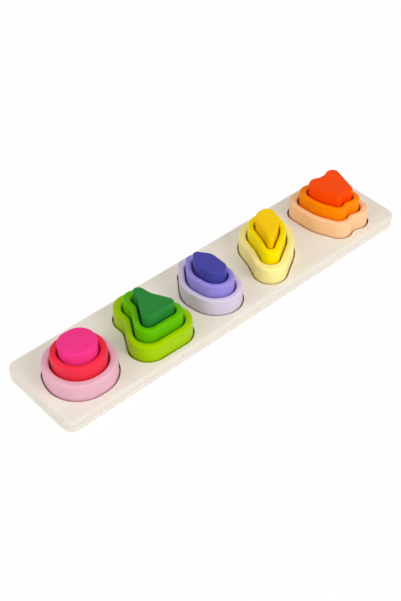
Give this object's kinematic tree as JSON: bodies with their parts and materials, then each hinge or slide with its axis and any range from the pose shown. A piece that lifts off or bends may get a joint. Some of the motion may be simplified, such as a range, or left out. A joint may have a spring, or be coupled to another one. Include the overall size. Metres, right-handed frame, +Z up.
{
  "type": "wooden shape puzzle",
  "caption": "Long plywood board with shaped sockets in a row, each holding a nest of painted wooden rings round a tall solid core, for sorting and stacking.",
  "frame": {"origin": "middle of the board's underside", "axes": "+X along the board towards the orange leaf nest, +Y across the board towards the back, +Z up"},
  "size_m": [0.4, 0.092, 0.052],
  "materials": {
    "plywood": "satin",
    "pale_pink_paint": "satin",
    "mid_pink_paint": "satin",
    "deep_pink_paint": "satin",
    "pale_green_paint": "satin",
    "mid_green_paint": "satin",
    "deep_green_paint": "satin",
    "pale_purple_paint": "satin",
    "mid_purple_paint": "satin",
    "deep_purple_paint": "satin",
    "pale_yellow_paint": "satin",
    "mid_yellow_paint": "satin",
    "deep_yellow_paint": "satin",
    "pale_orange_paint": "satin",
    "mid_orange_paint": "satin",
    "deep_orange_paint": "satin"
  },
  "bodies": {
    "board": {"base_sheet": "plywood", "frame_sheet": "plywood"},
    "pebble_outer": {"pebble_outer": "pale_pink_paint"},
    "pebble_middle": {"pebble_middle": "mid_pink_paint"},
    "pebble_core": {"pebble_core": "deep_pink_paint"},
    "bell_outer": {"bell_outer": "pale_green_paint"},
    "bell_middle": {"bell_middle": "mid_green_paint"},
    "bell_core": {"bell_core": "deep_green_paint"},
    "almond_outer": {"almond_outer": "pale_purple_paint"},
    "almond_middle": {"almond_middle": "mid_purple_paint"},
    "almond_core": {"almond_core": "deep_purple_paint"},
    "drop_outer": {"drop_outer": "pale_yellow_paint"},
    "drop_middle": {"drop_middle": "mid_yellow_paint"},
    "drop_core": {"drop_core": "deep_yellow_paint"},
    "leaf_outer": {"leaf_outer": "pale_orange_paint"},
    "leaf_middle": {"leaf_middle": "mid_orange_paint"},
    "leaf_core": {"leaf_core": "deep_orange_paint"}
  },
  "joints": [
    {"name": "pebble_outer_lift", "type": "slide", "parent": "board", "child": "pebble_outer", "axis": [0, 0, 1], "range_m": [0, 0.05]},
    {"name": "pebble_middle_lift", "type": "slide", "parent": "board", "child": "pebble_middle", "axis": [0, 0, 1], "range_m": [0, 0.05]},
    {"name": "pebble_core_lift", "type": "slide", "parent": "board", "child": "pebble_core", "axis": [0, 0, 1], "range_m": [0, 0.04]},
    {"name": "bell_outer_lift", "type": "slide", "parent": "board", "child": "bell_outer", "axis": [0, 0, 1], "range_m": [0, 0.05]},
    {"name": "bell_middle_lift", "type": "slide", "parent": "board", "child": "bell_middle", "axis": [0, 0, 1], "range_m": [0, 0.05]},
    {"name": "bell_core_lift", "type": "slide", "parent": "board", "child": "bell_core", "axis": [0, 0, 1], "range_m": [0, 0.04]},
    {"name": "almond_outer_lift", "type": "slide", "parent": "board", "child": "almond_outer", "axis": [0, 0, 1], "range_m": [0, 0.05]},
    {"name": "almond_middle_lift", "type": "slide", "parent": "board", "child": "almond_middle", "axis": [0, 0, 1], "range_m": [0, 0.05]},
    {"name": "almond_core_lift", "type": "slide", "parent": "board", "child": "almond_core", "axis": [0, 0, 1], "range_m": [0, 0.04]},
    {"name": "drop_outer_lift", "type": "slide", "parent": "board", "child": "drop_outer", "axis": [0, 0, 1], "range_m": [0, 0.05]},
    {"name": "drop_middle_lift", "type": "slide", "parent": "board", "child": "drop_middle", "axis": [0, 0, 1], "range_m": [0, 0.05]},
    {"name": "drop_core_lift", "type": "slide", "parent": "board", "child": "drop_core", "axis": [0, 0, 1], "range_m": [0, 0.04]},
    {"name": "leaf_outer_lift", "type": "slide", "parent": "board", "child": "leaf_outer", "axis": [0, 0, 1], "range_m": [0, 0.05]},
    {"name": "leaf_middle_lift", "type": "slide", "parent": "board", "child": "leaf_middle", "axis": [0, 0, 1], "range_m": [0, 0.05]},
    {"name": "leaf_core_lift", "type": "slide", "parent": "board", "child": "leaf_core", "axis": [0, 0, 1], "range_m": [0, 0.04]}
  ]
}
